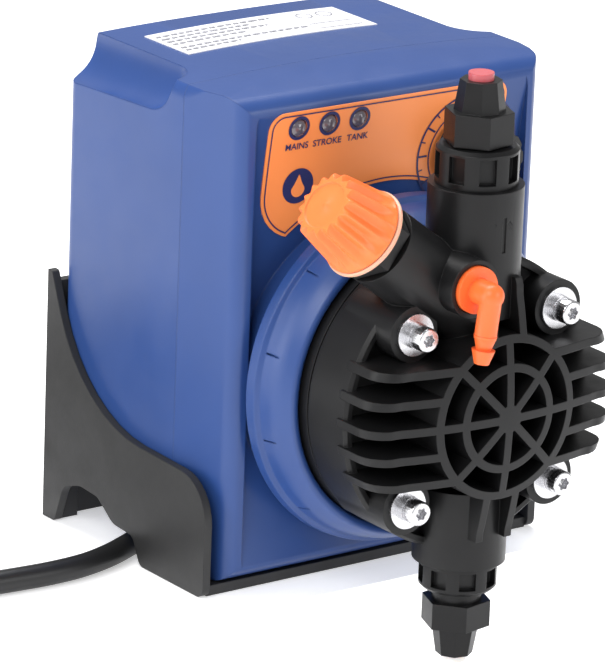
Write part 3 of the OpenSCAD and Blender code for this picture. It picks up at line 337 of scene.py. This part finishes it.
ptfe = plastic("ptfe", (0.82, 0.82, 0.79), 0.34, grain=1600, grain_depth=1e-5, vary=0.03, subsurface=0.2)
ceramic = plastic("ceramic", (0.85, 0.84, 0.80), 0.14, grain=2500, grain_depth=3e-6, vary=0.03, coat=0.6)
zinc = metal("zinc", (0.66, 0.66, 0.68), 0.24)
steel = metal("steel", (0.58, 0.58, 0.60), 0.30, lines=(300, 2600, 300))
brass = metal("brass", (0.75, 0.52, 0.22), 0.26, lines=(300, 2600, 300))
copper = metal("copper", (0.52, 0.20, 0.08), 0.38, lines=(200, 2600, 200))
nickel = metal("nickel", (0.72, 0.69, 0.62), 0.16, lines=(2600, 300, 300))

# ---- mains cable ----------------------------------------------------------------------------


def smooth_path(points):
    """A Catmull-Rom curve through the points."""
    pts = [Vector(p) for p in points]
    out = []
    for i in range(len(pts) - 1):
        a = pts[max(i - 1, 0)]
        b = pts[i]
        c = pts[i + 1]
        d = pts[min(i + 2, len(pts) - 1)]
        for k in range(ROUTE_STEPS):
            t = k / ROUTE_STEPS
            out.append(0.5 * (2 * b + (c - a) * t + (2 * a - 5 * b + 4 * c - d) * t * t
                              + (3 * b - a - 3 * c + d) * t ** 3))
    return out + [pts[-1]]


def coil_point(t):
    """A point on the coil after t turns: three rows inward, a climb, and three rows outward."""
    row = smoothstep(1.0, 1.15, t) + smoothstep(2.0, 2.15, t)
    row -= smoothstep(3.55, 3.75, t) + smoothstep(4.55, 4.75, t)
    radius = COIL_ROWS[0] - row * 2 * CABLE_R
    angle = -math.pi / 2 - 2 * math.pi * t
    height = CABLE_R + 2 * CABLE_R * smoothstep(2.85, 3.0, t)
    return COIL_CENTRE + Vector((radius * math.cos(angle), radius * math.sin(angle), height))


def make_cable():
    """The whole lead on one curve: gland, base, coil and plug."""
    turns = [coil_point(k / COIL_STEPS) for k in range(COIL_STEPS * COIL_TURNS + 1)]
    path = smooth_path(ROUTE) + turns + smooth_path(TAIL)
    length = sum((b - a).length for a, b in zip(path, path[1:]))
    curve = bpy.data.curves.new("mains_cable", "CURVE")
    curve.dimensions = "3D"
    curve.bevel_depth = CABLE_R
    curve.bevel_resolution = 5
    curve.use_fill_caps = True
    spline = curve.splines.new("POLY")
    spline.points.add(len(path) - 1)
    for point, p in zip(spline.points, path):
        point.co = (*p, 1)
    spline.use_smooth = True
    line = bpy.data.objects.new("cable_line", curve)
    bpy.context.scene.collection.objects.link(line)
    bpy.context.view_layer.update()
    tube = bpy.data.meshes.new_from_object(line.evaluated_get(bpy.context.evaluated_depsgraph_get()))
    bpy.data.objects.remove(line)
    tube.name = "mains_cable"
    cable = place(tube, "mains_cable", "pump", cable_black)
    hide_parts("power_cable", "cable_coil", "cable_tail")
    return cable, path, length


def make_tie():
    """A hook-and-loop strap round one side of the coil."""
    turn = Matrix.Translation(COIL_CENTRE) @ Matrix.Rotation(TIE_ANGLE, 4, "Z")
    middle_z = 2 * CABLE_R + TIE_T
    bm = bmesh.new()
    loops = []
    for side in (-0.006, -0.0055, 0.0055, 0.006):
        for grow in ((0.0, TIE_T) if side < 0 else (TIE_T, 0.0)):
            edge = 0.0002 if abs(side) > 0.0057 else 0.0
            loop = []
            for k in range(48):
                a = 2 * math.pi * k / 48
                c, s = math.cos(a), math.sin(a)
                x = COIL_ROWS[1] + (TIE_HALF_W + grow - edge) * math.copysign(abs(c) ** 0.35, c)
                z = middle_z + (TIE_HALF_H + grow - edge) * math.copysign(abs(s) ** 0.35, s)
                loop.append(turn @ Vector((x, side, max(z, 0.00005))))
            loops.append(loop)
    order = [loops[0], loops[1], loops[3], loops[4], loops[6], loops[7], loops[0]]
    loft(bm, order, False, False)
    bmesh.ops.remove_doubles(bm, verts=bm.verts, dist=1e-6)
    tie = finish_mesh(bm, "coil_tie", "pump", rubber_black)
    return tie


# ---- carried-over solids --------------------------------------------------------------------


def soften(node, material, body, faces_to=None, second=None, sharp=32):
    """A smooth-shaded copy of a CAD node; faces that faces_to picks get the second material."""
    source = frame["nodes"][node]
    mesh = source.data.copy()
    mesh.name = "skin_" + node
    bm = bmesh.new()
    bm.from_mesh(mesh)
    bmesh.ops.remove_doubles(bm, verts=bm.verts, dist=2e-6)
    for face in bm.faces:
        face.material_index = 1 if faces_to and faces_to(face.calc_center_median(), face.normal) else 0
        face.smooth = True
    bm.to_mesh(mesh)
    bm.free()
    mesh.materials.clear()
    mesh.materials.append(material)
    if second:
        mesh.materials.append(second)
    if "custom_normal" in mesh.attributes:
        mesh.attributes.remove(mesh.attributes["custom_normal"])
    mesh.set_sharp_from_angle(angle=math.radians(sharp))
    piece = place(mesh, "skin_" + node, body)
    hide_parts(node)
    return piece


NODE_BODY = {n: b for b, ns in frame["record"]["behaviour"]["bodies"].items() for n in ns}


def from_head_axis(p):
    return math.hypot(p.x, p.z - HEAD_Z)


def on_head_rim(p, normal):
    """The deep cylindrical rim of the head."""
    outward = (normal.x * p.x + normal.z * (p.z - HEAD_Z)) / max(from_head_axis(p), 1e-6)
    return abs(from_head_axis(p) - HEAD_R) < 0.0004 and outward > 0.9


def on_collar(p, normal):
    return p.y < RIM_Y + SCOOP_DEPTH + 0.001 and HEAD_R < from_head_axis(p) < COLLAR_R + 0.0004


SKINS = {
    "rear_housing": housing_blue, "rating_label": label_white, "mounting_bracket": bracket_grey,
    "bracket_screws": zinc, "housing_screws": zinc, "cable_gland": rubber_black,
    "mains_plug": rubber_black, "plug_pins": nickel, "control_label": label_orange,
    "control_board": board_green, "board_parts": part_brown, "led_board": board_green,
    "power_led": lamp_dark, "pulse_led": lamp_dark, "level_led": lamp_dark, "potentiometer": zinc,
    "flow_knob": knob_black, "solenoid_can": steel, "solenoid_coil": copper, "solenoid_pole": steel,
    "guide_tube": brass, "end_bumper": rubber_black, "rod_bush": brass, "armature": steel,
    "push_rod": steel, "diaphragm_insert": steel, "head_backplate": head_black,
    "spring_washers": zinc, "flat_washers": zinc, "discharge_valve": valve_black,
    "discharge_ball": ceramic, "discharge_seal": rubber_black, "discharge_nut": valve_black,
    "discharge_plug": red_plug, "suction_valve": valve_black, "suction_ball": ceramic,
    "suction_seal": rubber_black, "suction_nut": valve_black, "suction_plug": white_plug,
    "bleed_body": hex_black, "bleed_seal": rubber_black, "bleed_stem": white_plug,
    "bleed_elbow": elbow_orange,
}


def dress_nodes():
    skins = {node: soften(node, material, NODE_BODY[node]) for node, material in SKINS.items()}
    # The collar's faces get the darker blue, which is painted shade on the same moulded plastic.
    soften("front_cover", housing_blue, "pump", on_collar, collar_blue_painted_shade)
    soften("pump_head", head_black, "pump", on_head_rim, rim_black)
    for node, material in (("return_spring", steel), ("diaphragm", ptfe)):
        mesh = frame["nodes"][node].data
        mesh.materials.clear()
        mesh.materials.append(material)
    return skins


# ---- prints on the labels -------------------------------------------------------------------

SCOOP_HALF = (SCOOP_HIGH - SCOOP_LOW) / 2
SCOOP_R = (SCOOP_HALF ** 2 + SCOOP_DEPTH ** 2) / (2 * SCOOP_DEPTH)


def panel_y(z):
    """Front face of the hollow panel at this height."""
    drop = z - (SCOOP_LOW + SCOOP_HIGH) / 2
    return RIM_Y + SCOOP_DEPTH - SCOOP_R + math.sqrt(SCOOP_R ** 2 - drop ** 2)


def on_label(p, lift=0.00018):
    """A point of the control label's drawing, on its curved surface."""
    return Vector((p[0], panel_y(p[1]) - LABEL_T - lift, p[1]))


def on_top(p, lift=0.00018):
    """A point of the rating label's drawing, on the arched top."""
    rise = math.sqrt((TOP_ARCH_R + RATING_T + lift) ** 2 - p[0] ** 2)
    return Vector((p[0], p[1], TOP_Z - TOP_ARCH_R + rise))


def line_strip(bm, points, width, put, closed=False):
    """A printed line of this width along flat points."""
    pts = [Vector(p) for p in points]
    count = len(pts)
    sides = []
    for i, p in enumerate(pts):
        a = pts[(i - 1) % count] if closed or i else p
        b = pts[(i + 1) % count] if closed or i < count - 1 else p
        along = (b - a).normalized()
        across = Vector((-along.y, along.x)) * width / 2
        sides.append((bm.verts.new(put(p + across)), bm.verts.new(put(p - across))))
    for i in range(count if closed else count - 1):
        a, b = sides[i], sides[(i + 1) % count]
        bm.faces.new((a[0], b[0], b[1], a[1]))


def arc(cx, cy, r, a0, a1, steps=24):
    """Flat points on an arc, angles in degrees."""
    angles = [math.radians(a0 + (a1 - a0) * k / steps) for k in range(steps + 1)]
    return [(cx + r * math.cos(a), cy + r * math.sin(a)) for a in angles]


def fill(bm, outline, put):
    bm.faces.new([bm.verts.new(put(p)) for p in outline])


def label_outline(inset):
    """The control label's outline, set in: rounded corners and the collar's arc."""
    x0, z0, x1, z1 = LABEL_BOX
    x0, z0, x1, z1 = x0 + inset, z0 + inset, x1 - inset, z1 - inset
    big, small = 0.014 - inset, 0.005 - inset
    keep_out = COLLAR_R + 0.0014 + inset
    left = arc(x0 + big, z0 + big, big, 270, 180)
    left = [p for p in left if math.hypot(p[0], p[1] - HEAD_Z) > keep_out]
    right_x = math.sqrt(keep_out ** 2 - (z0 - HEAD_Z) ** 2)
    start = math.degrees(math.atan2(z0 - HEAD_Z, right_x))
    end = math.degrees(math.atan2(left[0][1] - HEAD_Z, left[0][0]))
    top = [(x0 + small + (x1 - x0 - 2 * small) * k / 20, z1) for k in range(21)]
    rise = [(x0, z0 + big + (z1 - small - z0 - big) * k / 12) for k in range(1, 12)]
    fall = [(x1, z1 - small - (z1 - z0 - 2 * small) * k / 20) for k in range(1, 20)]
    return (left + rise + arc(x0 + small, z1 - small, small, 180, 90) + top[1:-1]
            + arc(x1 - small, z1 - small, small, 90, 0) + fall
            + arc(x1 - small, z0 + small, small, 0, -88) + arc(0, HEAD_Z, keep_out, start, end, 48))


def words(text, size, at, put, name, material):
    """Printed words, centred at a flat point and laid on the surface."""
    curve = bpy.data.curves.new(name, "FONT")
    curve.body = text
    curve.size = size
    curve.align_x = "CENTER"
    curve.align_y = "CENTER"
    curve.offset = size * 0.012
    carrier = bpy.data.objects.new(name + "_outline", curve)
    bpy.context.scene.collection.objects.link(carrier)
    depsgraph = bpy.context.evaluated_depsgraph_get()
    mesh = bpy.data.meshes.new_from_object(carrier.evaluated_get(depsgraph))
    bpy.data.objects.remove(carrier)
    for v in mesh.vertices:
        v.co = put((at[0] + v.co.x, at[1] + v.co.y))
    mesh.materials.clear()
    return place(mesh, name, "pump", material)


def droplet(cx, cz, r, steps=28):
    """Outline of a drop: a round foot drawn up to a point."""
    out = []
    for k in range(steps):
        a = -math.pi / 2 + 2 * math.pi * k / steps
        rise = max(math.sin(a), 0)
        x = cx + r * math.cos(a) * (1 - 0.55 * rise ** 1.5)
        out.append((x, cz + r * math.sin(a) * (1 + 0.9 * rise ** 3)))
    return out


def print_control_label():
    bm = bmesh.new()
    line_strip(bm, label_outline(0.0011), 0.0004, on_label, True)
    # rings round the lamps
    for i in range(3):
        ring = arc(LED_X0 + i * LED_PITCH, LED_Z, 0.0031, 0, 352, 44)
        line_strip(bm, ring, 0.0009, on_label, True)
    finish_mesh(bm, "label_lines", "pump", print_navy)
    for i, text in enumerate(("MAINS", "STROKE", "TANK")):
        words(text, 0.0027, (LED_X0 + i * LED_PITCH, LED_Z - 0.0055), on_label, "caption_" + text.lower(),
              print_navy)
    # round badge with a drop
    bm = bmesh.new()
    fill(bm, arc(-0.0305, 0.1165, 0.0052, 0, 354, 59), on_label)
    finish_mesh(bm, "badge_disc", "pump", print_navy)
    bm = bmesh.new()
    fill(bm, droplet(-0.0305, 0.1155, 0.0023), lambda p: on_label(p, 0.0003))
    finish_mesh(bm, "badge_drop", "pump", label_orange)


def print_dial():
    """Dial scale round the flow knob: two navy rings and ticks."""
    bm = bmesh.new()
    line_strip(bm, arc(*DIAL, 0.0172, -60, 240, 60), 0.0006, on_label)
    line_strip(bm, arc(*DIAL, 0.0134, -60, 240, 60), 0.0004, on_label)
    for k in range(21):
        a = math.radians(240 - 15 * k)
        inner = 0.0140 if k % 2 == 0 else 0.0156
        ray = [(DIAL[0] + r * math.cos(a), DIAL[1] + r * math.sin(a)) for r in (inner, 0.0170)]
        line_strip(bm, ray, 0.0006 if k % 2 == 0 else 0.00035, on_label)
    finish_mesh(bm, "dial_scale", "pump", print_navy)


def print_rating_label():
    """Grey lines that stand for the rating label's print."""
    bm = bmesh.new()
    x0, y0, x1, y1 = -0.0375, 0.0245, 0.0255, 0.0435
    rows = ((0.0022, 0.62), (0.0050, 0.48), (0.0078, 0.55), (0.0106, 0.40), (0.0146, 0.70), (0.0172, 0.30))
    for drop, share in rows:
        y = y1 - drop
        x = x0
        end = x0 + (x1 - x0) * share
        k = 0
        while x < end:
            step = 0.0016 + 0.0022 * abs(noise.noise(Vector((k * 1.7, drop * 900, 0.3))))
            stop = min(x + step, end)
            line_strip(bm, [(x, y), ((x + stop) / 2, y), (stop, y)], 0.0011, on_top)
            x += step + 0.0007
            k += 1
    for ring_x in (0.0125, 0.0195):
        line_strip(bm, arc(ring_x, y1 - 0.0045, 0.0024, 0, 352, 32), 0.0004, on_top, True)
    line_strip(bm, [(0.0085, y0 + 0.001), (0.0085, y0 + 0.006), (0.0235, y0 + 0.006), (0.0235, y0 + 0.001)],
               0.0004, on_top, True)
    finish_mesh(bm, "rating_print", "pump", print_grey)


# ---- hand-built fittings --------------------------------------------------------------------


def make_screw(x, z, index):
    """Socket head cap screw with a six-lobe recess."""
    at = axis_matrix(Vector((x, SCREW_SEAT_Y, z)), Vector((0, -1, 0)))
    r, h = SCREW_HEAD_R, SCREW_HEAD_H
    count = 96

    def knurl(radius):
        return lambda a: radius * (1 - 0.012 * (math.cos(24 * a) > 0))

    def lobe(radius):
        return lambda a: radius * (0.88 + 0.12 * math.cos(6 * a))

    bm = bmesh.new()
    loops = [
        circle_loop(at, plain(0.002), 0, count), circle_loop(at, plain(r - 0.0002), 0, count),
        circle_loop(at, knurl(r), 0.0002, count), circle_loop(at, knurl(r), h - 0.0006, count),
        circle_loop(at, plain(r - 0.0002), h - 0.0002, count), circle_loop(at, plain(r - 0.0005), h, count),
        circle_loop(at, lobe(0.0019), h, count), circle_loop(at, lobe(0.0018), h - 0.0002, count),
        circle_loop(at, lobe(0.0018), h - 0.0022, count), circle_loop(at, plain(0.0006), h - 0.0026, count),
    ]
    loft(bm, loops)
    shank = [circle_loop(at, plain(0.002), z1, 32) for z1 in (0, -0.0398)]
    loft(bm, shank)
    screw = finish_mesh(bm, f"head_screw_{index}", "pump", zinc, 30)
    return screw


def make_head_screws():
    spots = [(sx * BOSS_AT, HEAD_Z + sz * BOSS_AT) for sx in (-1, 1) for sz in (-1, 1)]
    screws = [make_screw(x, z, i) for i, (x, z) in enumerate(spots)]
    for screw in screws:
        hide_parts("head_screws")


def make_bleed_knob():
    """Fluted bleed knob: pale flange, tapered grip with deep flutes and a flat end with edge bumps."""
    axis = Vector((-math.cos(BLEED_ANGLE), 0, math.sin(BLEED_ANGLE)))
    at = axis_matrix(BLEED_BASE + axis * BLEED_KNOB_Z0, axis)
    flutes = 16
    count = flutes * 16

    def fluted(radius, depth):
        return lambda a: radius - depth * (0.5 - 0.5 * math.cos(flutes * a)) ** 0.7

    h = BLEED_KNOB_H
    r0, r1 = BLEED_FLANGE_R - 0.0008, BLEED_KNOB_R
    bm = bmesh.new()
    loops = [
        circle_loop(at, plain(0.0036), 0.0016, count),
        circle_loop(at, plain(r0 + 0.0003), 0.0016, count),
        circle_loop(at, plain(r0 + 0.0003), 0.0022, count),
        circle_loop(at, fluted(r0, 0.0004), 0.0028, count),
    ]
    for k in range(1, 9):
        t = k / 8
        radius = r0 + (r1 - r0) * t
        loops.append(circle_loop(at, fluted(radius, 0.0004 + 0.0013 * smoothstep(0, 0.35, t)),
                                 0.0028 + (h - 0.0040) * t, count))
    loops += [
        circle_loop(at, fluted(r1 - 0.0003, 0.0017), h - 0.0005, count),
        circle_loop(at, fluted(r1 - 0.0009, 0.0014), h, count),
        circle_loop(at, plain(r1 - 0.0031), h, count),
        circle_loop(at, plain(r1 - 0.0034), h - 0.0004, count),
        circle_loop(at, plain(0.0012), h - 0.0004, count),
        circle_loop(at, plain(0.0008), h - 0.0001, count),
    ]
    loft(bm, loops)
    knob = finish_mesh(bm, "bleed_grip", "bleed_screw", knob_orange, 40)
    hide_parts("bleed_knob")
    bm = bmesh.new()
    rf = BLEED_FLANGE_R
    loops = [
        circle_loop(at, plain(0.0036), 0, 96), circle_loop(at, plain(rf - 0.0002), 0, 96),
        circle_loop(at, plain(rf), 0.0002, 96), circle_loop(at, plain(rf), 0.0008, 96),
        circle_loop(at, plain(rf - 0.0004), 0.0012, 96), circle_loop(at, plain(0.0036), 0.0016, 96),
    ]
    loft(bm, loops, False, False)
    flange = finish_mesh(bm, "bleed_flange", "bleed_screw", pale_flange, 40)


# ---- set ------------------------------------------------------------------------------------


def studio_white():
    n = Nodes("studio_white")
    n.link(n.ramp(n.noise(3, 2), 0.3, 0.7, (0.87, 0.87, 0.875), (0.90, 0.90, 0.905)),
           n.shader.inputs["Base Color"])
    n.shader.inputs["Roughness"].default_value = 0.7
    n.shader.inputs["Emission Color"].default_value = (1, 1, 1, 1)
    n.shader.inputs["Emission Strength"].default_value = 0.45
    return n.material


def slab(name, lo, hi, material):
    bm = bmesh.new()
    bmesh.ops.create_cube(bm, size=1)
    for v in bm.verts:
        v.co = Vector([lo[i] + (hi[i] - lo[i]) * (v.co[i] + 0.5) for i in range(3)])
    mesh = bpy.data.meshes.new(name)
    bm.to_mesh(mesh)
    bm.free()
    mesh.materials.append(material)
    piece = bpy.data.objects.new(name, mesh)
    bpy.context.scene.collection.objects.link(piece)


def area_light(name, at, aim, size, power):
    data = bpy.data.lights.new(name, "AREA")
    data.shape = "RECTANGLE"
    data.size, data.size_y = size
    data.energy = power
    lamp = bpy.data.objects.new(name, data)
    lamp.location = at
    lamp.rotation_euler = (Vector(aim) - Vector(at)).to_track_quat("-Z", "Y").to_euler()
    bpy.context.scene.collection.objects.link(lamp)


def make_set():
    white = studio_white()
    slab("floor", (-4, -4, -0.08), (4, 4, -0.030), white)
    slab("plinth", (-0.5, -0.034, -0.030), (0.5, 0.6, -0.0002), white)
    world = bpy.data.worlds.new("studio")
    world.use_nodes = True
    tree = world.node_tree
    soft = tree.nodes["Background"]
    soft.inputs["Color"].default_value = (1, 1, 1, 1)
    soft.inputs["Strength"].default_value = 0.42
    backdrop = tree.nodes.new("ShaderNodeBackground")
    backdrop.inputs["Color"].default_value = (1, 1, 1, 1)
    path = tree.nodes.new("ShaderNodeLightPath")
    mix = tree.nodes.new("ShaderNodeMixShader")
    tree.links.new(path.outputs["Is Camera Ray"], mix.inputs["Fac"])
    tree.links.new(soft.outputs["Background"], mix.inputs[1])
    tree.links.new(backdrop.outputs["Background"], mix.inputs[2])
    tree.links.new(mix.outputs["Shader"], tree.nodes["World Output"].inputs["Surface"])
    bpy.context.scene.world = world
    bpy.context.scene.view_settings.view_transform = "Standard"
    centre = (0, -0.02, 0.07)
    area_light("key", (-0.9, -0.5, 0.9), centre, (0.7, 0.7), 9)
    area_light("side", (-1.1, 0.25, 0.35), centre, (0.5, 0.9), 5.5)
    area_light("front", (0.5, -1.2, 0.55), centre, (0.8, 0.6), 6)
    area_light("top", (0.1, 0.35, 1.1), centre, (0.8, 0.6), 14)


cable, cable_path, cable_length = make_cable()
tie = make_tie()
skins = dress_nodes()
print_control_label()
print_dial()
print_rating_label()
make_head_screws()
make_bleed_knob()
make_set()

bpy.context.view_layer.update()
